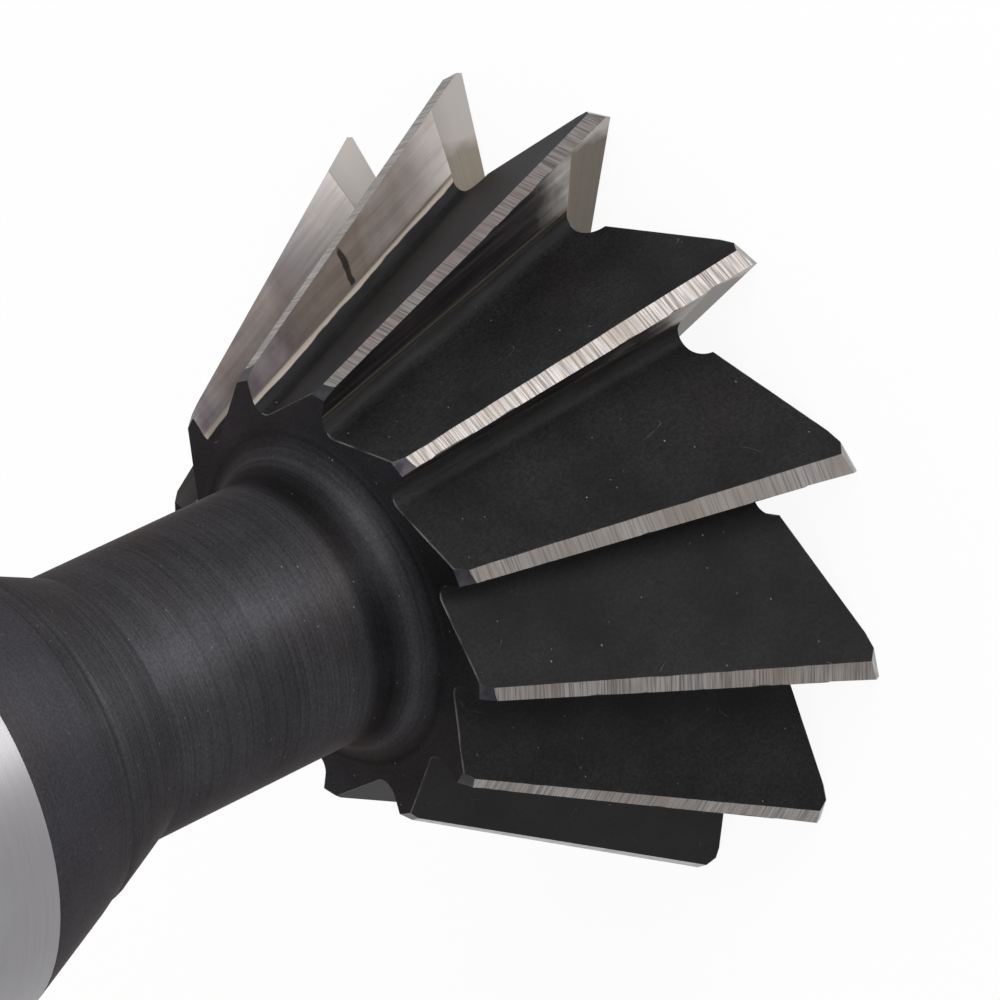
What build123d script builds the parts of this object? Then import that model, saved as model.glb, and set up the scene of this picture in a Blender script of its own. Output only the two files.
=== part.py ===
from build123d import *
import math
import os

# Solid dovetail milling cutter, one piece of high speed steel. Millimetres and degrees.
# The cutter stands on its end teeth: origin in the middle of the end face, +Z up the shank.

# overall sizes
overall_length = 120.0
teeth = 12
cutter_d = 60.0
dovetail_angle = 60.0
head_height = 24.15
shank_d = 32.0
neck_d = 19.45

# turned neck, from the head up to the shank
neck_fillet_r = 3.3
neck_top_z = 45.2
step_d = 23.6
step_z = 49.95
bead_d = 24.0
bead_z = 50.8
bead_bulge = 0.06
ring_d = 25.9
ring_z = 52.9
shank_z = 60.2
shank_chamfer = 1.2

# corners of the head
tip_bevel_height = 0.4
tip_bevel_width = 0.15
tip_bevel_relief = 21.0
small_end_chamfer = 0.9
small_end_drop = 0.3
face_dish_angle = 2.0

# recess in the end face and the two centre holes
recess_d = 31.0
recess_floor_d = 27.0
recess_depth = 3.6
centre_d = 8.0
centre_pilot_d = 3.2
centre_pilot_depth = 9.0
centre_angle = 60.0

# flutes between the teeth
rake_angle = 4.0
back_angle = 46.0
flute_slope = 22.8
flute_root_r = 1.1
land_small_end = 0.95
land_relief = 7.0
land_cut_width = 2.4

# notches that form the end teeth
notch_depth = 3.67
notch_root_r = 0.4
notch_side_r = 1.3
notch_side_w = 1.56
notch_rake = 1.0
notch_rise = 4.0
notch_back_z = 3.21
notch_back_slope = 13.0
end_relief = 4.0
end_cut_width = 3.0

# sizes that follow from the ones above
pitch = 360.0 / teeth
tip_r = cutter_d / 2
shank_r = shank_d / 2
neck_r = neck_d / 2
cone_slope = math.tan(math.radians(90.0 - dovetail_angle))
clear = 3.0
cut_lead = 0.8


def cone_radius(z):
    # radius of the cone the teeth are cut from, z above the end face
    return tip_r - (z - tip_bevel_height) * cone_slope


def heading(angle):
    # unit vector in the XY plane
    return Vector(math.cos(math.radians(angle)), math.sin(math.radians(angle)), 0)


def crossing(p, p_angle, q, q_angle):
    # point where the line through p meets the line through q
    u = heading(p_angle)
    v = heading(q_angle)
    gap = q - p
    along = (gap.X * v.Y - gap.Y * v.X) / (u.X * v.Y - u.Y * v.X)
    return p + u * along


# rake face of the tooth that points along +X: a plane parallel to the axis through the tip
tip = Vector(tip_r, 0, 0)
rake_out = heading(-rake_angle)
rake_front = heading(-rake_angle - 90.0)
rake_offset = tip_r * math.sin(math.radians(rake_angle))


def edge_point(z):
    # point of the side cutting edge at height z
    radius = cone_radius(z)
    angle = math.degrees(math.asin(rake_offset / radius)) - rake_angle
    return heading(angle) * radius + Vector(0, 0, z)


# turned blank
small_r = cone_radius(head_height)
dish = math.tan(math.radians(face_dish_angle))
recess_r = recess_d / 2
recess_rim_z = (tip_r - tip_bevel_width - recess_r) * dish
centre_r = centre_d / 2
centre_depth = (centre_r - centre_pilot_d / 2) / math.tan(math.radians(centre_angle / 2))
bead_mid = ((step_d + bead_d) / 4 + bead_bulge, (step_z + bead_z) / 2)

with BuildPart() as body:
    with BuildSketch(Plane.XZ):
        with BuildLine():
            Polyline(
                (0, overall_length - centre_pilot_depth),
                (centre_pilot_d / 2, overall_length - centre_pilot_depth),
                (centre_pilot_d / 2, overall_length - centre_depth),
                (centre_r, overall_length),
                (shank_r - shank_chamfer, overall_length),
                (shank_r, overall_length - shank_chamfer),
                (shank_r, shank_z),
                (ring_d / 2, ring_z),
                (bead_d / 2, bead_z),
            )
            ThreePointArc((bead_d / 2, bead_z), bead_mid, (step_d / 2, step_z))
            Polyline(
                (step_d / 2, step_z),
                (neck_r, neck_top_z),
                (neck_r, head_height + neck_fillet_r),
            )
            RadiusArc(
                (neck_r, head_height + neck_fillet_r),
                (neck_r + neck_fillet_r, head_height),
                -neck_fillet_r,
            )
            Polyline(
                (neck_r + neck_fillet_r, head_height),
                (small_r - small_end_drop, head_height),
                (cone_radius(head_height - small_end_chamfer), head_height - small_end_chamfer),
                (cone_radius(0), 0),
                (tip_r - tip_bevel_width, 0),
                (recess_r, recess_rim_z),
                (recess_floor_d / 2, recess_depth),
                (centre_r, recess_depth),
                (centre_pilot_d / 2, recess_depth + centre_depth),
                (centre_pilot_d / 2, recess_depth + centre_pilot_depth),
                (0, recess_depth + centre_pilot_depth),
                (0, overall_length - centre_pilot_depth),
            )
        make_face()
    revolve(axis=Axis.Z)

# flute between the rake face of this tooth and the back of the next tooth
edge_small = edge_point(head_height)
land_angle = math.degrees(math.atan2(edge_small.Y, edge_small.X) + land_small_end / small_r)
land_corner = heading(land_angle - pitch) * small_r
root = crossing(tip, -rake_angle, land_corner, -pitch - back_angle)
root_high = root + Vector(0, 0, head_height)

# the flute's root runs down and outwards; its section is drawn square to that line
slope_sin = math.sin(math.radians(flute_slope))
slope_cos = math.cos(math.radians(flute_slope))
flute_dir = rake_out * slope_sin - Vector(0, 0, slope_cos)
flute_out = rake_out * slope_cos + Vector(0, 0, slope_sin)
back_turn = math.radians(pitch + back_angle - rake_angle)
section_angle = math.degrees(math.atan2(math.sin(back_turn), math.cos(back_turn) * slope_cos))
flute_reach = tip_r
flute_start = root_high - flute_dir * (clear / slope_cos)

with BuildPart() as flute:
    with BuildSketch(Plane(origin=flute_start, x_dir=flute_out, z_dir=flute_dir)) as flute_section:
        with BuildLine():
            Polyline(
                (0, 0),
                (flute_reach, 0),
                heading(section_angle) * flute_reach,
                close=True,
            )
        make_face()
        fillet(flute_section.vertices().sort_by_distance((0, 0, 0))[0], flute_root_r)
    extrude(amount=(head_height + 2 * clear + flute_reach * slope_sin) / slope_cos)

# notch across the end face, its section drawn square to its root and measured from the tip
notch_out = rake_out + Vector(0, 0, math.tan(math.radians(notch_rise)))
notch_plane = Plane(origin=tip + notch_out * clear, x_dir=rake_front, z_dir=-notch_out)
notch_back = math.tan(math.radians(notch_back_slope))
notch_lean = math.tan(math.radians(notch_rake))
root_z = notch_depth - notch_root_r
root_w = notch_root_r / math.cos(math.radians(notch_rake)) - notch_lean * root_z
touch_w = root_w - notch_root_r * math.cos(math.radians(notch_rake))
touch_z = root_z - notch_root_r * math.sin(math.radians(notch_rake))
notch_reach = tip_r

with BuildPart() as notch:
    with BuildSketch(notch_plane):
        with BuildLine():
            Polyline(
                (touch_w, touch_z),
                (root_w, notch_depth),
                (notch_side_w, notch_depth),
                (notch_side_w, notch_back_z - notch_side_w * notch_back),
                ((notch_back_z + clear) / notch_back, -clear),
                (touch_w + notch_lean * (touch_z + clear), -clear),
                close=True,
            )
        make_face()
        with Locations((root_w, root_z)):
            Circle(notch_root_r)
        with Locations((notch_side_w, notch_depth - notch_side_r)):
            Circle(notch_side_r)
    extrude(amount=notch_reach)

# relief behind the end cutting edge
end_drop = math.tan(math.radians(end_relief))
end_z = -dish * (clear + tip_bevel_width)

with BuildPart() as end_cut:
    with BuildSketch(Plane(origin=tip + rake_out * clear, x_dir=rake_front, z_dir=-rake_out)):
        with BuildLine():
            Polyline(
                (cut_lead, end_z - cut_lead * end_drop),
                (-end_cut_width, end_z + end_cut_width * end_drop),
                (-end_cut_width, -clear),
                (cut_lead, -clear),
                close=True,
            )
        make_face()
    extrude(amount=tip_r - recess_r + 2 * clear, dir=-rake_out + Vector(0, 0, dish))

# relief behind the side cutting edge
edge_low = edge_point(0)
edge_high = edge_point(head_height)
edge_dir = (edge_high - edge_low).normalized()
edge_back = edge_dir.cross(Vector(1, 0, cone_slope)).normalized()
land_plane = Plane(origin=edge_high + edge_dir * clear, x_dir=edge_back, z_dir=-edge_dir)
land_drop = math.tan(math.radians(land_relief))

with BuildPart() as land_cut:
    with BuildSketch(land_plane):
        with BuildLine():
            Polyline(
                (-cut_lead, cut_lead * land_drop),
                (land_cut_width, -land_cut_width * land_drop),
                (land_cut_width, clear),
                (-cut_lead, clear),
                close=True,
            )
        make_face()
    extrude(amount=(edge_high - edge_low).length + 2 * clear)

# bevel across the outer corner, backed off behind the cutting edge
corner_back = math.tan(math.radians(tip_bevel_relief))
corner_lean = tip_bevel_width / tip_bevel_height
corner_start = tip + rake_front * cut_lead + rake_out * (cut_lead * corner_back)
corner_cut_width = 4.5

with BuildPart() as corner_cut:
    with BuildSketch(Plane(origin=corner_start, x_dir=rake_out, z_dir=rake_front)):
        with BuildLine():
            Polyline(
                (-corner_lean * (tip_bevel_height + clear), -clear),
                (corner_lean * clear, tip_bevel_height + clear),
                (2 * clear, tip_bevel_height + clear),
                (2 * clear, -clear),
                close=True,
            )
        make_face()
    extrude(
        amount=(cut_lead + corner_cut_width) / math.cos(math.radians(tip_bevel_relief)),
        dir=-rake_front - rake_out * corner_back,
    )

with BuildPart() as dovetail_cutter:
    add(body.part)
    with PolarLocations(0, teeth):
        add(flute.part, mode=Mode.SUBTRACT)
        add(notch.part, mode=Mode.SUBTRACT)
        add(end_cut.part, mode=Mode.SUBTRACT)
        add(land_cut.part, mode=Mode.SUBTRACT)
        add(corner_cut.part, mode=Mode.SUBTRACT)

dovetail_cutter.part.label = "dovetail_cutter"
os.makedirs("parts", exist_ok=True)
export_step(dovetail_cutter.part, "parts/dovetail_cutter.step")
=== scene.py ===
import math

import bpy
import numpy as np
from mathutils import Matrix, Vector


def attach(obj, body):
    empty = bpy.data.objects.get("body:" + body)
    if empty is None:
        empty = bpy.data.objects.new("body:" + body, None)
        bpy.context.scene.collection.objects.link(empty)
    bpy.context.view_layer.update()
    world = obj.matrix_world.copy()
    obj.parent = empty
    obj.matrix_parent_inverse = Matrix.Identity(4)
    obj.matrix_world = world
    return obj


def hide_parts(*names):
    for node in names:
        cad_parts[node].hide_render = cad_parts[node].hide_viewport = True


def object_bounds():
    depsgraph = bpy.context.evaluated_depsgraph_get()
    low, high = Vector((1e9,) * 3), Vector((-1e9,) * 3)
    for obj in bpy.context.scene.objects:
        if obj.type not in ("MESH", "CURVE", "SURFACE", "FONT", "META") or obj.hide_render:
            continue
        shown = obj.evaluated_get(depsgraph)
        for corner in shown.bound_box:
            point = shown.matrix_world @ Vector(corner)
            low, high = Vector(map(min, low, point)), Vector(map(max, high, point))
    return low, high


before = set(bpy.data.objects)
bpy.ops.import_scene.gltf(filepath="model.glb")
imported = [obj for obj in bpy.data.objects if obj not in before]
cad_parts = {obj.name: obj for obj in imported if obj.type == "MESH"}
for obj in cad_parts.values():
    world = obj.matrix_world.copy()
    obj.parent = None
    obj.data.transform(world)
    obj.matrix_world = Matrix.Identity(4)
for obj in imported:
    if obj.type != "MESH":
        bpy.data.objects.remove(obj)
cad_low, cad_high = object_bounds()

# sizes of the cutter that the looks need, in millimetres and degrees
TEETH = 12
TIP_R = 30.0
EDGE_Z = 0.4
CONE_ANGLE = 60.0
RAKE_ANGLE = 4.0
FLUTE_SLOPE = 22.8
NOTCH_TOP = 3.7
CHAMFER_Z = 23.25
HEAD_TOP = 24.15
CONE_Z = 52.9
SHANK_Z = 60.2
RECESS_R = 15.5
RECESS_FLOOR_R = 13.6
CENTRE_R = 5.0
CENTRE_TOP = 13.0

# how far from a nominal size, and how square to a direction, a face of the mesh may be
CLOSE = 0.05
HEAD_CLOSE = 0.02
SQUARE_END = 0.99
SQUARE_FRONT = 0.985
SQUARE_LAND = 0.97
NOTCH_LEAN = 0.008
ROOT_LEAN = 0.35
ROOT_INNER_R = 14.0
TIP_REACH = 1.6
LAND_SINK = 0.45

# width of the bright land at the end face, and how much it narrows for a millimetre of height
HEEL_WIDTH = 1.467
HEEL_TAPER = 0.0196
HEEL_FADE = 0.04

# step of the tooth number that keeps the noise of the teeth apart
NUMBER_STEP = 7.3

# how far the front faces are rubbed bright goes up and down from tooth to tooth, in degrees; the
# darker teeth are partly painted shade
WEAR_AND_SHADE_STEP = 90.0
WEAR_AND_SHADE_START = -135.0

# painted light on the neck's fillet by the height above the head, as a share of the brightest:
# painted shade at its foot and near its top, a painted highlight between
FILLET_REACH = 4.5
FILLET_PAINTED_LIGHT = (
    (0.0, 0.36),
    (0.12, 0.24),
    (0.45, 0.42),
    (0.95, 0.64),
    (1.65, 0.30),
    (2.5, 0.20),
    (3.3, 0.28),
    (4.5, 0.67),
)

# dark smear across one front face: its tooth, middle, half sizes and tilt
SMEAR_TOOTH = 2
SMEAR_MIDDLE = (20.2, 0.0, 13.72)
SMEAR_HALF = (2.3, 50.0, 0.27)
SMEAR_TILT = -10.0

# photograph's view: camera place in metres and its axes in the cutter's frame
CAMERA_PLACE = (0.370752, -0.097850, 0.270819)
CAMERA_RIGHT = (0.381537, -0.550208, -0.742766)
CAMERA_UP = (0.469099, 0.807640, -0.357302)
CAMERA_BACK = (0.796477, -0.212106, 0.566246)
CAMERA_LENS = 239.26
CAMERA_SENSOR = 36.0

# lamps: name, direction from the cutter, distance, width and height in metres, watts
LAMPS = (
    ("key", (0.878, 0.252, 0.407), 0.9, 0.5, 0.5, 2.5),
    ("low", (0.991, -0.125, 0.040), 0.9, 0.32, 0.12, 4.8),
    ("side", (0.496, 0.439, 0.748), 0.9, 0.25, 0.25, 1.6),
    ("top", (-0.2, 0.3, 1.0), 1.2, 0.8, 0.8, 2.5),
)
LAMPS_AIM = (0.0, 0.0, 0.02)

# light of the world on things, and the floor: its half side and gap below the cutter in
# metres, its grey, and how far it is plain white in the rays that show the background
WORLD_LIGHT = 0.55
FLOOR_HALF = 3.0
FLOOR_GAP = 0.00002
FLOOR_GREY = 0.92
FLOOR_WHITE = 0.93

# tones, linear
WHITE = (1, 1, 1, 1)
OXIDE = (0.0085, 0.0081, 0.0086, 1)
OXIDE_LIGHT = (0.0150, 0.0145, 0.0156, 1)
OXIDE_BROWN = (0.0155, 0.0130, 0.0117, 1)
OXIDE_EDGE = (0.60, 0.56, 0.55, 1)
NECK_DARK = (0.072, 0.070, 0.077, 1)
NECK_LIGHT = (0.118, 0.115, 0.126, 1)
NECK_BROWN = (0.098, 0.089, 0.090, 1)
CONE_DARK = (0.083, 0.080, 0.091, 1)
CONE_LIGHT = (0.106, 0.103, 0.117, 1)
ROOT_OLIVE = (0.019, 0.0175, 0.0145, 1)
ROOT_BARE = (0.29, 0.25, 0.215, 1)
DUST = (0.16, 0.15, 0.15, 1)
WORN_EDGE_AND_HIGHLIGHT = (0.22, 0.205, 0.20, 1)
LAND_DARK = (0.122, 0.110, 0.103, 1)
LAND_LIGHT = (0.275, 0.256, 0.246, 1)
LAND_BROWN = (0.16, 0.137, 0.120, 1)
RAKE_GREY = (0.12, 0.100, 0.107, 1)
RAKE_LIGHT = (0.39, 0.352, 0.357, 1)
RAKE_BROWN = (0.27, 0.210, 0.165, 1)
RAKE_PAINTED_HIGHLIGHT = (0.60, 0.558, 0.525, 1)
END_DARK = (0.20, 0.165, 0.130, 1)
END_LIGHT = (0.30, 0.265, 0.225, 1)
END_WHITE = (0.43, 0.405, 0.39, 1)
TIP_DARK = (0.28, 0.27, 0.26, 1)
TIP_LIGHT = (0.44, 0.43, 0.42, 1)
CHAMFER_DARK = (0.020, 0.019, 0.022, 1)
CHAMFER_LIGHT = (0.055, 0.053, 0.062, 1)
SHANK_DARK = (0.330, 0.323, 0.330, 1)
SHANK_LIGHT = (0.375, 0.368, 0.377, 1)
SHANK_CLOUD = (0.87, 0.865, 0.875, 1)


def heading(angle):
    """Unit direction in the XY plane."""
    return np.array([math.cos(math.radians(angle)), math.sin(math.radians(angle)), 0.0])


# directions and sizes that follow from the ones above
OUT = (1.0, 0.0, 0.0)
BEHIND = (0.0, 1.0, 0.0)
UP = (0.0, 0.0, 1.0)
RAKE_OUT = heading(-RAKE_ANGLE)
RAKE_FRONT = heading(-RAKE_ANGLE - 90)
RAKE_OFFSET = TIP_R * math.sin(math.radians(RAKE_ANGLE))
RAKE_RUN = (math.sin(math.radians(FLUTE_SLOPE)), 0.0, -math.cos(math.radians(FLUTE_SLOPE)))
CONE_SLOPE = math.tan(math.radians(90 - CONE_ANGLE))
ROUND = ("turned_neck", "turned_cone", "ground_shank")


def make(tree, kind, settings=None, **values):
    """Adds a node; settings are its own properties, values its inputs by name."""
    made = tree.nodes.new(kind)
    for name, value in (settings or {}).items():
        setattr(made, name, value)
    for name, value in values.items():
        made.inputs[name.replace("_", " ")].default_value = value
    return made


def join(tree, source, target, output=0, into=0):
    """Links an output of one node to an input of another."""
    tree.links.new(source.outputs[output], target.inputs[into])
    return target


def attribute(tree, name):
    """Reads a value that the mesh keeps for each face corner."""
    return make(tree, "ShaderNodeAttribute", {"attribute_name": name})


def place(tree, scale, name, shift):
    """A place in millimetres on a tooth or on the cutter, stretched by scale."""
    mapping = make(tree, "ShaderNodeMapping", Scale=scale, Location=(shift, shift, shift))
    return join(tree, attribute(tree, name), mapping, "Vector", "Vector")


def noise(tree, scale, detail=3.0, shift=0.0, roughness=0.5):
    """Noise on the whole cutter; scale is its waves per millimetre along each axis."""
    made = make(tree, "ShaderNodeTexNoise", Scale=1.0, Detail=detail, Roughness=roughness)
    return join(tree, place(tree, scale, "cutter_place", shift), made, "Vector", "Vector")


def noise_apart(tree, source, detail, roughness):
    """Noise at a place that comes out different from tooth to tooth."""
    four = {"noise_dimensions": "4D"}
    made = make(tree, "ShaderNodeTexNoise", four, Scale=1.0, Detail=detail, Roughness=roughness)
    join(tree, attribute(tree, "tooth_number"), made, "Fac", "W")
    return join(tree, source, made, "Vector", "Vector")


def tooth_noise(tree, scale, detail=3.0, shift=0.0, roughness=0.5):
    """Noise along each tooth's own directions; scale is its waves per millimetre."""
    return noise_apart(tree, place(tree, scale, "tooth_place", shift), detail, roughness)


def along(tree, direction):
    """Distance in millimetres along a direction given in a tooth's own place, output 1."""
    made = make(tree, "ShaderNodeVectorMath", {"operation": "DOT_PRODUCT"})
    made.inputs[1].default_value = direction
    return join(tree, attribute(tree, "tooth_place"), made, "Vector", 0)


def maths(tree, kind, first, second, output=0):
    """One sum on two values; second may be a plain number."""
    made = make(tree, "ShaderNodeMath", {"operation": kind})
    join(tree, first, made, output, 0)
    if isinstance(second, (int, float)):
        made.inputs[1].default_value = second
    else:
        join(tree, second, made, 0, 1)
    return made


def near(tree, source, value, within, output=0):
    """1 where a value lies close to a number, else 0."""
    made = make(tree, "ShaderNodeMath", {"operation": "COMPARE"})
    made.inputs[1].default_value = value
    made.inputs[2].default_value = within
    return join(tree, source, made, output, 0)


def level(tree, source, low, high, at_low=0.0, at_high=1.0, output=0):
    """Turns a value between at_low and at_high into one between low and high."""
    made = make(tree, "ShaderNodeMapRange")
    made.inputs["From Min"].default_value = at_low
    made.inputs["From Max"].default_value = at_high
    made.inputs["To Min"].default_value = low
    made.inputs["To Max"].default_value = high
    return join(tree, source, made, output, "Value")


def ramp(tree, source, low, high, at_low=0.35, at_high=0.65):
    """Turns a value into a colour between low and high."""
    made = make(tree, "ShaderNodeValToRGB")
    made.color_ramp.elements[0].position = at_low
    made.color_ramp.elements[0].color = low
    made.color_ramp.elements[1].position = at_high
    made.color_ramp.elements[1].color = high
    return join(tree, source, made, 0, "Fac")


def grey(tree, source, low, high, at_low=0.0, at_high=1.0):
    """A grey between low and high, to darken a colour by."""
    return ramp(tree, source, (low, low, low, 1), (high, high, high, 1), at_low, at_high)


def colour_of(source):
    """The colour output of a mix or a ramp."""
    return source.outputs[2] if source.bl_idname == "ShaderNodeMix" else source.outputs[0]


def blend(tree, share, first, second, kind="MIX"):
    """Mixes two colours by a share; second may be a plain colour."""
    made = make(tree, "ShaderNodeMix", {"data_type": "RGBA", "blend_type": kind})
    if isinstance(share, (int, float)):
        made.inputs[0].default_value = share
    else:
        join(tree, share, made, 0, 0)
    tree.links.new(colour_of(first), made.inputs[6])
    if isinstance(second, tuple):
        made.inputs[7].default_value = second
    else:
        tree.links.new(colour_of(second), made.inputs[7])
    return made


def darken(tree, base, shade):
    """Multiplies a colour by a shade."""
    return blend(tree, 1.0, base, shade, "MULTIPLY")


def material(name):
    """A new material with its tree and its own surface shader."""
    made = bpy.data.materials.new(name)
    made.use_nodes = True
    tree = made.node_tree
    shader = next(n for n in tree.nodes if n.type == "BSDF_PRINCIPLED")
    return made, tree, shader


def coat(tree, shader, base, metal, rough):
    """Gives a shader its colour, and its metal and roughness as numbers or patterns."""
    tree.links.new(colour_of(base), shader.inputs["Base Color"])
    for name, value in (("Metallic", metal), ("Roughness", rough)):
        if isinstance(value, (int, float)):
            shader.inputs[name].default_value = value
        else:
            join(tree, value, shader, 0, name)


def bump(tree, shader, source, strength, depth_mm, before=None):
    """Raises the surface by a pattern; depth is in millimetres."""
    made = make(tree, "ShaderNodeBump", Strength=strength, Distance=depth_mm / 1000)
    join(tree, source, made, 0, "Height")
    if before is not None:
        join(tree, before, made, "Normal", "Normal")
    join(tree, made, shader, "Normal", "Normal")
    return made


def round_the_axis(tree, shader, amount):
    """Stretches the gloss across marks that run round the cutter's axis."""
    shader.inputs["Anisotropic"].default_value = amount
    shader.inputs["Anisotropic Rotation"].default_value = 0.25
    around = make(tree, "ShaderNodeTangent", {"direction_type": "RADIAL", "axis": "Z"})
    join(tree, around, shader, 0, "Tangent")


def wear_and_painted_shade(tree):
    """How far the front face of this tooth is rubbed bright, from 0 to 1, where low values also
    stand for painted shade.
    """
    held = make(tree, "ShaderNodeMath", {"operation": "MULTIPLY"})
    held.inputs[1].default_value = 1.0
    return join(tree, attribute(tree, "tooth_wear_and_painted_shade"), held, "Fac", 0)


def streaks(tree, run, coarse, fine, shift):
    """Noise drawn out along a direction in the front face; waves per millimetre along and across."""
    held = make(tree, "ShaderNodeCombineXYZ")
    held.inputs[2].default_value = shift
    across = (-run[2], 0.0, run[0])
    for slot, (way, waves) in enumerate(((run, coarse), (across, fine))):
        join(tree, maths(tree, "MULTIPLY", along(tree, way), waves, 1), held, 0, slot)
    return noise_apart(tree, held, 3.0, 0.6)


def painted_fillet_light(tree):
    """Painted light on the neck by its height: painted shade at both ends of the fillet, a painted
    highlight between them.
    """
    made = make(tree, "ShaderNodeValToRGB")
    stops = made.color_ramp.elements
    for stop, (above, share) in zip(stops, (FILLET_PAINTED_LIGHT[0], FILLET_PAINTED_LIGHT[-1])):
        stop.position = above / FILLET_REACH
        stop.color = (share, share, share, 1)
    for above, share in FILLET_PAINTED_LIGHT[1:-1]:
        stops.new(above / FILLET_REACH).color = (share, share, share, 1)
    height = level(tree, along(tree, UP), 0.0, 1.0, HEAD_TOP, HEAD_TOP + FILLET_REACH, 1)
    return join(tree, height, made, 0, "Fac")


def specks(tree, spacing, share):
    """A mask of sparse dust specks; spacing in millimetres, share of it that a speck fills."""
    made = make(tree, "ShaderNodeTexVoronoi", {"feature": "F1"}, Scale=1.0, Randomness=1.0)
    scale = (1 / spacing, 0.7 / spacing, 1.2 / spacing)
    join(tree, place(tree, scale, "cutter_place", 0.0), made, "Vector", "Vector")
    uneven = level(tree, noise(tree, (6.0,) * 3, 2.0, 15.0), -0.03, 0.03)
    ragged = maths(tree, "ADD", made, uneven, "Distance")
    dots = level(tree, ragged, 1.0, 0.0, share, share + 0.03)
    rare = level(tree, noise(tree, (0.7,) * 3, 2.0, 7.0), 0.0, 1.0, 0.50, 0.62)
    return maths(tree, "MULTIPLY", dots, rare)


def hairs(tree):
    """A mask of a few hair scratches that cross each other's way."""
    lines = near(tree, tooth_noise(tree, (0.10, 0.4, 0.16), 1.0, 91.0), 0.5, 0.0008)
    rare = level(tree, tooth_noise(tree, (0.5,) * 3, 2.0, 93.0), 0.0, 0.45, 0.60, 0.68)
    return maths(tree, "MULTIPLY", lines, rare)


def smear(tree):
    """A mask of the dark smear on one tooth's front face."""
    tilt = (0.0, math.radians(SMEAR_TILT), 0.0)
    spot = make(
        tree,
        "ShaderNodeMapping",
        {"vector_type": "TEXTURE"},
        Location=SMEAR_MIDDLE,
        Rotation=tilt,
        Scale=SMEAR_HALF,
    )
    join(tree, attribute(tree, "tooth_place"), spot, "Vector", "Vector")
    far = join(tree, spot, make(tree, "ShaderNodeVectorMath", {"operation": "LENGTH"}))
    uneven = level(tree, tooth_noise(tree, (1.2,) * 3, 3.0, 75.0), -0.5, 0.5, 0.3, 0.7)
    mark = level(tree, maths(tree, "ADD", far, uneven, "Value"), 0.9, 0.0, 0.8, 1.2)
    here = near(tree, attribute(tree, "tooth_number"), NUMBER_STEP * SMEAR_TOOTH, 0.1, "Fac")
    return maths(tree, "MULTIPLY", mark, here)


def worn_edges_and_highlight(tree, radius_mm):
    """A mask of sharp outer edges where the black has rubbed off, also a painted edge highlight,
    broken by noise.
    """
    rounded = make(tree, "ShaderNodeBevel", {"samples": 4}, Radius=radius_mm / 1000)
    flat = make(tree, "ShaderNodeNewGeometry")
    turn = make(tree, "ShaderNodeVectorMath", {"operation": "DOT_PRODUCT"})
    join(tree, rounded, turn, "Normal", 0)
    join(tree, flat, turn, "Normal", 1)
    edge = level(tree, turn, 1.0, 0.0, 0.86, 0.995, "Value")
    patchy = level(tree, noise(tree, (0.8,) * 3, 3.0, 51.0), 0.0, 1.0, 0.42, 0.62)
    return maths(tree, "MULTIPLY", edge, patchy)


def worn_rim_and_highlight(tree):
    """A mask of the thin bright line where the teeth meet the head's top: worn bare, and also a
    painted edge highlight.
    """
    rim = level(tree, along(tree, UP), 0.0, 1.0, HEAD_TOP - 0.13, HEAD_TOP - 0.07, 1)
    patchy = level(tree, noise(tree, (0.5,) * 3, 3.0, 53.0), 0.03, 0.28, 0.38, 0.60)
    return maths(tree, "MULTIPLY", rim, patchy)


def black_oxide():
    """Blackened milled faces: the backs of the teeth and the flutes."""
    made, tree, shader = material("black_oxide")
    base = ramp(tree, noise(tree, (0.22,) * 3, 4.0), OXIDE, OXIDE_LIGHT)
    brown = level(tree, noise(tree, (0.12,) * 3, 3.0, 31.0), 0.0, 0.6, 0.55, 0.75)
    base = blend(tree, brown, base, OXIDE_BROWN)
    grit = noise(tree, (4.0,) * 3, 4.0, 45.0, 0.75)
    base = darken(tree, base, grey(tree, grit, 0.45, 1.0, 0.38, 0.62))
    base = blend(tree, specks(tree, 0.8, 0.05), base, DUST)
    base = blend(tree, hairs(tree), base, DUST)
    # worn bare edges and rim, painted lighter also as edge highlights
    base = blend(tree, worn_edges_and_highlight(tree, 0.09), base, WORN_EDGE_AND_HIGHLIGHT)
    base = blend(tree, worn_rim_and_highlight(tree), base, WORN_EDGE_AND_HIGHLIGHT)
    coat(tree, shader, base, 0.0, level(tree, grit, 0.54, 0.62, 0.3, 0.7))
    shader.inputs["Specular IOR Level"].default_value = 0.09
    marks = tooth_noise(tree, (0.5, 5.0, 0.7), 3.0, 11.0)
    first = bump(tree, shader, noise(tree, (9.0,) * 3, 3.0, 5.0), 0.3, 0.02)
    bump(tree, shader, marks, 0.2, 0.03, first)
    return made


def flute_root():
    """Rounded root of a flute: black, with a thin bare line where the wheel stopped."""
    made, tree, shader = material("flute_root")
    base = ramp(tree, tooth_noise(tree, (0.3, 3.0, 0.3), 3.0, 83.0), OXIDE, OXIDE_LIGHT)
    wave = level(tree, tooth_noise(tree, (0.25,) * 3, 3.0, 81.0), -0.05, 0.05, 0.3, 0.7)
    behind = maths(tree, "ADD", along(tree, BEHIND), wave, 1)
    bare = level(tree, behind, 0.0, 1.0, -0.14, -0.10)
    # the bare line is darker on teeth with less wear, partly as painted shade
    wear_and_painted_light = ramp(tree, wear_and_painted_shade(tree), ROOT_OLIVE, ROOT_BARE, 0.12, 0.85)
    base = blend(tree, bare, base, wear_and_painted_light)
    coat(tree, shader, base, level(tree, bare, 0.0, 0.4), 0.6)
    shader.inputs["Specular IOR Level"].default_value = 0.08
    bump(tree, shader, tooth_noise(tree, (0.3, 6.0, 0.3), 3.0, 85.0), 0.2, 0.02)
    return made


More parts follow.
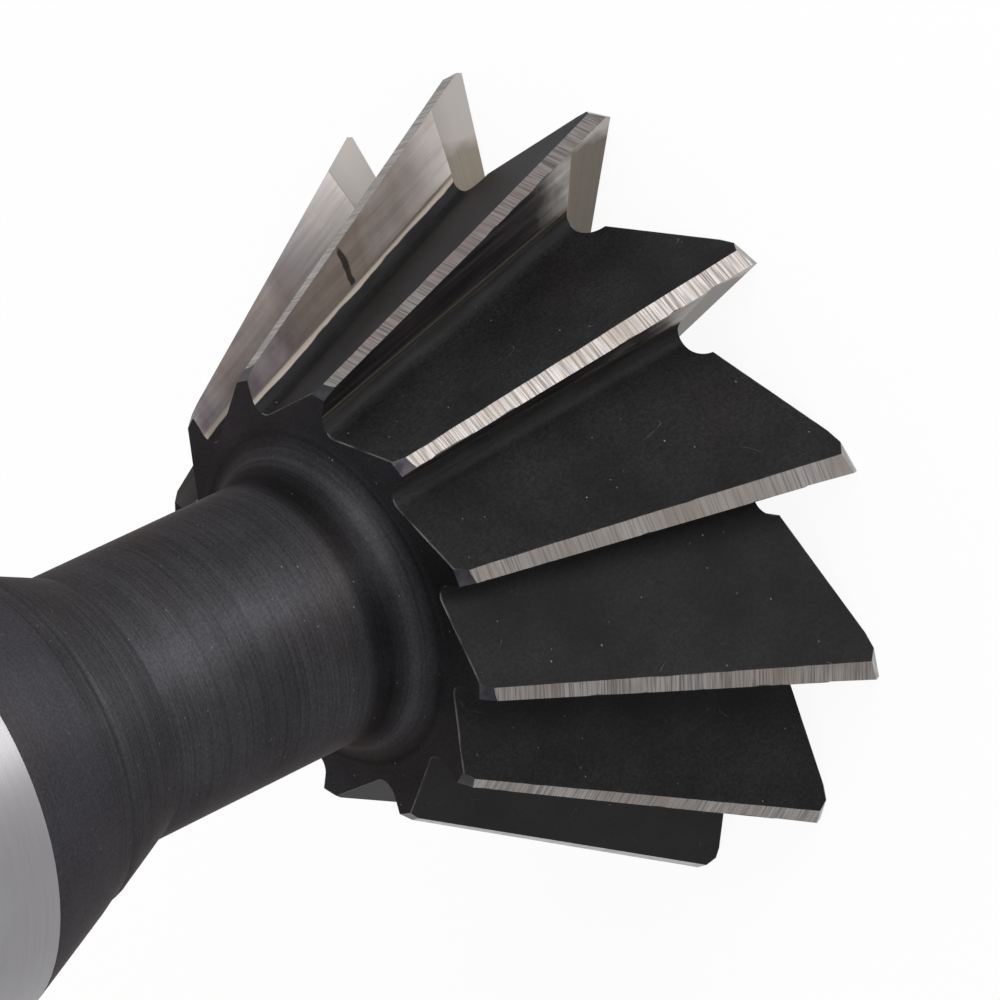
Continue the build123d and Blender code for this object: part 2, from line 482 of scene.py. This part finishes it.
def turned_oxide(name, low, high, ring_strength, grooves):
    """Blackened turned faces: rings round the axis from the turning tool."""
    made, tree, shader = material(name)
    rings = noise(tree, (0.04, 0.04, 9.0), 3.0, 0.0, 0.7)
    groups = level(tree, noise(tree, (0.03, 0.03, 0.4), 2.0, 13.0), 0.1, 1.0, 0.40, 0.62)
    base = ramp(tree, noise(tree, (0.15,) * 3, 4.0, 17.0), low, high, 0.3, 0.7)
    brown = level(tree, noise(tree, (0.10, 0.10, 0.12), 3.0, 37.0), 0.0, 0.7, 0.52, 0.72)
    base = blend(tree, brown, base, NECK_BROWN)
    base = darken(tree, base, grey(tree, rings, 1.0 - 0.5 * ring_strength, 1.0, 0.36, 0.58))
    grit = noise(tree, (4.5, 4.5, 6.0), 3.0, 43.0, 0.7)
    base = darken(tree, base, grey(tree, grit, 0.68, 1.0, 0.36, 0.64))
    # painted shade and painted highlight on the neck's fillet, by height
    base = darken(tree, base, painted_fillet_light(tree))
    # a few deeper grooves, in groups
    deep = level(tree, noise(tree, (0.03, 0.03, 4.2), 2.0, 19.0, 0.6), grooves, 0.0, 0.32, 0.37)
    base = blend(tree, maths(tree, "MULTIPLY", deep, groups), base, OXIDE)
    base = blend(tree, specks(tree, 0.8, 0.055), base, DUST)
    coat(tree, shader, base, 1.0, level(tree, rings, 0.52, 0.64, 0.3, 0.7))
    shader.inputs["Specular Tint"].default_value = OXIDE_EDGE
    round_the_axis(tree, shader, 0.66)
    first = bump(tree, shader, noise(tree, (8.0,) * 3, 3.0, 5.0), 0.2, 0.015)
    bump(tree, shader, maths(tree, "MULTIPLY", rings, groups), ring_strength, 0.03, first)
    return made


def ground_shank():
    """Bright ground cylinder with fine grinding lines round the axis."""
    made, tree, shader = material("ground_shank")
    lines = noise(tree, (0.1, 0.1, 14.0), 3.0, 0.0, 0.6)
    base = ramp(tree, lines, SHANK_DARK, SHANK_LIGHT, 0.3, 0.7)
    clouds = noise(tree, (0.06, 0.06, 0.09), 2.0, 23.0)
    base = darken(tree, base, ramp(tree, clouds, SHANK_CLOUD, WHITE, 0.36, 0.60))
    coat(tree, shader, base, 1.0, level(tree, clouds, 0.52, 0.58, 0.3, 0.7))
    round_the_axis(tree, shader, 0.78)
    bump(tree, shader, lines, 0.1, 0.006)
    return made


def ground_land():
    """Relief land behind the side cutting edge, ground across its length."""
    made, tree, shader = material("ground_land")
    lines = tooth_noise(tree, (0.02, 0.3, 12.0), 1.0, 0.0, 0.6)
    tone = ramp(tree, lines, LAND_DARK, LAND_LIGHT, 0.36, 0.58)
    patches = level(tree, tooth_noise(tree, (0.1, 0.2, 0.3), 2.0, 41.0), 0.0, 0.7, 0.4, 0.7)
    base = blend(tree, patches, tone, LAND_BROWN)
    # the black runs a little way over the heel, along a wavy line
    wave = level(tree, tooth_noise(tree, (0.2, 0.2, 0.55), 2.0, 61.0), -0.03, 0.07, 0.3, 0.7)
    heel = maths(tree, "ADD", along(tree, (0.0, 1.0, HEEL_TAPER)), wave, 1)
    over = level(tree, heel, 0.0, 1.0, HEEL_WIDTH, HEEL_WIDTH + HEEL_FADE)
    base = blend(tree, over, base, OXIDE_LIGHT)
    # dark nicks along the cutting edge
    nicks = level(tree, tooth_noise(tree, (0.2, 0.2, 0.5), 3.0, 63.0), 0.08, -0.10, 0.36, 0.56)
    edge = maths(tree, "SUBTRACT", along(tree, BEHIND), nicks, 1)
    base = blend(tree, level(tree, edge, 0.85, 0.0, 0.0, 0.03), base, OXIDE_LIGHT)
    coat(tree, shader, base, 1.0, level(tree, lines, 0.34, 0.25, 0.40, 0.56))
    bump(tree, shader, lines, 0.35, 0.008)
    return made


def ground_rake():
    """Ground front face of a tooth: patchy, with a painted highlight near the outer corner."""
    made, tree, shader = material("ground_rake")
    patches = tooth_noise(tree, (0.11, 0.11, 0.14), 4.0, 9.0, 0.6)
    base = ramp(tree, patches, RAKE_GREY, RAKE_LIGHT, 0.38, 0.62)
    brown = level(tree, tooth_noise(tree, (0.07, 0.07, 0.09), 2.0, 71.0), 0.0, 0.8, 0.45, 0.7)
    base = blend(tree, brown, base, RAKE_BROWN)
    uneven = level(tree, patches, -5.0, 5.0, 0.3, 0.7)
    ragged = maths(tree, "ADD", along(tree, UP), uneven, 1)
    # painted highlight towards the far end of the face, with a ragged edge
    base = blend(tree, level(tree, ragged, 0.85, 0.0, 3.0, 11.0), base, RAKE_PAINTED_HIGHLIGHT)
    lines = streaks(tree, RAKE_RUN, 0.10, 2.2, 2.0)
    base = darken(tree, base, grey(tree, lines, 0.78, 1.0, 0.35, 0.6))
    # where the black is left the face is darker, partly as painted shade, and towards the far end it
    # is lighter as a painted highlight; the fine lines show through it
    wear_and_painted_light = maths(tree, "ADD", wear_and_painted_shade(tree), level(tree, ragged, 0.42, 0.0, 2.0, 7.0))
    wear_and_painted_light = maths(tree, "ADD", wear_and_painted_light, level(tree, lines, -0.05, 0.05, 0.3, 0.7))
    base = darken(tree, base, grey(tree, wear_and_painted_light, 0.07, 0.95, 0.12, 0.72))
    base = blend(tree, smear(tree), base, OXIDE_BROWN)
    coat(tree, shader, base, 0.55, level(tree, patches, 0.55, 0.42, 0.3, 0.7))
    bump(tree, shader, lines, 0.15, 0.012)
    return made


def ground_end():
    """Ground faces at the end teeth, brownish, with fine lines along them."""
    made, tree, shader = material("ground_end")
    lines = tooth_noise(tree, (0.04, 2.0, 9.0), 2.0, 3.0, 0.6)
    base = ramp(tree, lines, END_DARK, END_LIGHT, 0.1, 0.9)
    # darker on teeth with less wear, partly as painted shade
    base = darken(tree, base, grey(tree, wear_and_painted_shade(tree), 0.52, 0.92, 0.15, 0.85))
    # the outer corner is whiter, reaching further in on some teeth than on others
    ragged = level(tree, tooth_noise(tree, (0.5,) * 3, 3.0, 73.0), -0.5, 0.5, 0.3, 0.7)
    reach = maths(tree, "ADD", ragged, level(tree, wear_and_painted_shade(tree), 0.0, 5.0))
    outward = maths(tree, "ADD", along(tree, OUT), reach, 1)
    corner = level(tree, outward, 0.0, 0.8, TIP_R - 1.2, TIP_R - 0.2)
    base = blend(tree, corner, base, END_WHITE)
    inner = level(tree, along(tree, UP), 0.0, 0.25, 1.8, 3.4, 1)
    base = blend(tree, inner, base, END_DARK)
    coat(tree, shader, base, 0.75, 0.42)
    bump(tree, shader, lines, 0.1, 0.008)
    return made


def ground_tip():
    """Small bright bevel across the outer corner of a tooth."""
    made, tree, shader = material("ground_tip")
    lines = tooth_noise(tree, (3.0, 0.4, 5.0), 3.0, 6.0)
    coat(tree, shader, ramp(tree, lines, TIP_DARK, TIP_LIGHT), 1.0, 0.35)
    return made


def ground_chamfer():
    """Small bluish bevel at the inner end of a tooth."""
    made, tree, shader = material("ground_chamfer")
    tone = tooth_noise(tree, (0.8,) * 3, 3.0, 12.0)
    coat(tree, shader, ramp(tree, tone, CHAMFER_DARK, CHAMFER_LIGHT), 1.0, 0.4)
    return made


def all_finishes():
    """The finishes of the cutter by name."""
    return {
        "black_oxide": black_oxide(),
        "flute_root": flute_root(),
        "turned_neck": turned_oxide("turned_neck", NECK_DARK, NECK_LIGHT, 0.7, 0.3),
        "turned_cone": turned_oxide("turned_cone", CONE_DARK, CONE_LIGHT, 0.12, 0.15),
        "ground_shank": ground_shank(),
        "ground_land": ground_land(),
        "ground_rake": ground_rake(),
        "ground_end": ground_end(),
        "ground_tip": ground_tip(),
        "ground_chamfer": ground_chamfer(),
    }


def turned(point, tooth):
    """A point or direction carried from a tooth's place to the first tooth's."""
    angle = math.radians(-360.0 / TEETH * tooth)
    c, s = math.cos(angle), math.sin(angle)
    return np.array([c * point[0] - s * point[1], s * point[0] + c * point[1], point[2]])


def behind_front(local):
    """Distance of a point behind the front face of the first tooth."""
    return -(local @ RAKE_FRONT) - RAKE_OFFSET


def tooth_of(point):
    """Number of the tooth whose front face lies next in front of the point."""
    found = []
    for tooth in range(TEETH):
        local = turned(point, tooth)
        gap = behind_front(local)
        if gap > -0.6 and local @ RAKE_OUT > 0:
            found.append((gap, tooth))
    return min(found)[1] if found else 0


def in_recess(radius, z, up):
    """Whether a face belongs to the recess in the end face or to its centre hole."""
    inside = radius < RECESS_R - CLOSE and radius < RECESS_FLOOR_R + z and z < CENTRE_TOP
    return inside and up < 0.3 and (abs(up) > 0.2 or radius < CENTRE_R)


def region(centre, normal):
    """Name of the finish for a face of the cutter, from its middle and its normal."""
    radius = math.hypot(centre[0], centre[1])
    z = centre[2]
    up = normal[2]
    if z > SHANK_Z - CLOSE:
        return "ground_shank"
    if z > HEAD_TOP - HEAD_CLOSE:
        return "turned_cone" if z > CONE_Z else "turned_neck"
    if in_recess(radius, z, up):
        return "turned_neck"
    front = turned(normal, tooth_of(centre)) @ RAKE_FRONT
    outward = np.array([centre[0], centre[1], 0]) / max(radius, 1e-6)
    if up < -SQUARE_END:
        return "ground_end"
    if normal @ outward > 0.8 and up < -0.1 and radius > TIP_R - TIP_REACH:
        return "ground_tip"
    if front > SQUARE_FRONT:
        return "ground_end" if abs(up) > NOTCH_LEAN else "ground_rake"
    if front > ROOT_LEAN and radius > ROOT_INNER_R:
        return "flute_root" if z > NOTCH_TOP else "ground_end"
    if z > CHAMFER_Z and up > 0.6 and normal @ outward > 0.5:
        return "ground_chamfer"
    cone_r = TIP_R - (z - EDGE_Z) * CONE_SLOPE
    cone = outward * math.sin(math.radians(CONE_ANGLE)) + np.array([0, 0, 0.5])
    if normal @ cone > SQUARE_LAND and radius > cone_r - LAND_SINK:
        return "ground_land"
    return "black_oxide"


def trued(point, normal):
    """A turned face's normal with its level part pointing straight out from the axis."""
    reach = math.hypot(point[0], point[1])
    part = math.hypot(normal[0], normal[1])
    if reach < 0.001 or part < 0.001:
        return normal
    side = math.copysign(part / reach, normal[0] * point[0] + normal[1] * point[1])
    return np.array([side * point[0], side * point[1], normal[2]])


def store(mesh, name, kind, field, values):
    """Keeps a value for each face corner, for the materials to read."""
    made = mesh.attributes.new(name, kind, "CORNER")
    made.data.foreach_set(field, np.ravel(values).astype(np.float32))


def sort_faces(mesh, order):
    """Gives each face its finish and keeps each corner's place, tooth and wear, which is partly
    painted shade.
    """
    points = np.array([v.co for v in mesh.vertices]) * 1000
    corners = len(mesh.loops)
    on_cutter = np.zeros((corners, 3))
    on_tooth = np.zeros((corners, 3))
    numbers = np.zeros(corners)
    wear_and_painted_light = np.zeros(corners)
    normals = np.array([n.vector for n in mesh.corner_normals])
    for face in mesh.polygons:
        centre = points[list(face.vertices)].mean(axis=0)
        name = region(centre, np.array(face.normal))
        face.material_index = order.index(name)
        tooth = tooth_of(centre)
        for corner in face.loop_indices:
            point = points[mesh.loops[corner].vertex_index]
            local = turned(point, tooth)
            on_cutter[corner] = point
            on_tooth[corner] = (local @ RAKE_OUT, behind_front(local), local[2])
            numbers[corner] = NUMBER_STEP * tooth
            # wear of each tooth, whose low values are partly painted shade
            wear_and_painted_light[corner] = 0.5 + 0.5 * math.sin(math.radians(WEAR_AND_SHADE_STEP * tooth + WEAR_AND_SHADE_START))
            if name in ROUND:
                normals[corner] = trued(point, normals[corner])
    store(mesh, "cutter_place", "FLOAT_VECTOR", "vector", on_cutter)
    store(mesh, "tooth_place", "FLOAT_VECTOR", "vector", on_tooth)
    store(mesh, "tooth_number", "FLOAT", "value", numbers)
    store(mesh, "tooth_wear_and_painted_shade", "FLOAT", "value", wear_and_painted_light)
    mesh.normals_split_custom_set(normals)


def dress(node_name):
    """A copy of the CAD node whose faces carry their own finish."""
    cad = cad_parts[node_name]
    piece = cad.copy()
    piece.data = cad.data.copy()
    piece.name = node_name + "_finish"
    piece.data.name = piece.name
    bpy.context.scene.collection.objects.link(piece)
    finishes = all_finishes()
    piece.data.materials.clear()
    for finish in finishes.values():
        piece.data.materials.append(finish)
    sort_faces(piece.data, list(finishes))
    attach(piece, "root")
    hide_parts(node_name)


def background_rays(tree):
    """1 for rays that show the background, 0 for the light that falls on things."""
    path = make(tree, "ShaderNodeLightPath")
    both = make(tree, "ShaderNodeMath", {"operation": "MAXIMUM"})
    join(tree, path, both, "Is Camera Ray", 0)
    join(tree, path, both, "Is Glossy Ray", 1)
    every = make(tree, "ShaderNodeMath", {"operation": "MAXIMUM"})
    join(tree, both, every, 0, 0)
    join(tree, path, every, "Is Transmission Ray", 1)
    return every


def studio_floor():
    """Plain pale floor that keeps the shadow."""
    z = cad_low.z - FLOOR_GAP
    signs = ((-1, -1), (1, -1), (1, 1), (-1, 1))
    corners = [(FLOOR_HALF * x, FLOOR_HALF * y, z) for x, y in signs]
    mesh = bpy.data.meshes.new("floor")
    mesh.from_pydata(corners, [], [(0, 1, 2, 3)])
    floor = bpy.data.objects.new("floor", mesh)
    bpy.context.scene.collection.objects.link(floor)
    made, tree, shader = material("floor")
    shader.inputs["Base Color"].default_value = (FLOOR_GREY, FLOOR_GREY, FLOOR_GREY, 1)
    shader.inputs["Roughness"].default_value = 0.9
    shader.inputs["Specular IOR Level"].default_value = 0.0
    white = make(tree, "ShaderNodeEmission", Color=WHITE, Strength=1.0)
    mix = make(tree, "ShaderNodeMixShader")
    share = maths(tree, "MULTIPLY", background_rays(tree), FLOOR_WHITE)
    join(tree, share, mix, 0, "Fac")
    join(tree, shader, mix, 0, 1)
    join(tree, white, mix, 0, 2)
    surface = next(n for n in tree.nodes if n.type == "OUTPUT_MATERIAL")
    join(tree, mix, surface, 0, "Surface")
    mesh.materials.append(made)


def studio_world():
    """Even soft light, seen as white."""
    world = bpy.data.worlds.new("studio")
    bpy.context.scene.world = world
    world.use_nodes = True
    tree = world.node_tree
    back = next(n for n in tree.nodes if n.type == "BACKGROUND")
    back.inputs["Color"].default_value = WHITE
    join(tree, level(tree, background_rays(tree), WORLD_LIGHT, 1.0), back, 0, "Strength")


def softbox(name, towards, distance, width, height, power):
    """A lamp that faces the cutter from a direction given in its frame."""
    lamp = bpy.data.lights.new(name, "AREA")
    lamp.shape = "RECTANGLE"
    lamp.size = width
    lamp.size_y = height
    lamp.energy = power
    made = bpy.data.objects.new(name, lamp)
    bpy.context.scene.collection.objects.link(made)
    way = Vector(towards).normalized()
    made.location = Vector(LAMPS_AIM) + way * distance
    made.rotation_euler = way.to_track_quat("Z", "Y").to_euler()


def studio_camera():
    """The photograph's view."""
    data = bpy.data.cameras.new("camera")
    data.sensor_width = CAMERA_SENSOR
    data.lens = CAMERA_LENS
    data.clip_start = 0.01
    data.clip_end = 20.0
    made = bpy.data.objects.new("camera", data)
    axes = Matrix((CAMERA_RIGHT, CAMERA_UP, CAMERA_BACK)).transposed()
    made.matrix_world = Matrix.Translation(CAMERA_PLACE) @ axes.to_4x4()
    bpy.context.scene.collection.objects.link(made)
    bpy.context.scene.camera = made


dress("dovetail_cutter")
studio_floor()
studio_world()
for settings in LAMPS:
    softbox(*settings)
studio_camera()
bpy.context.scene.view_settings.view_transform = "Standard"
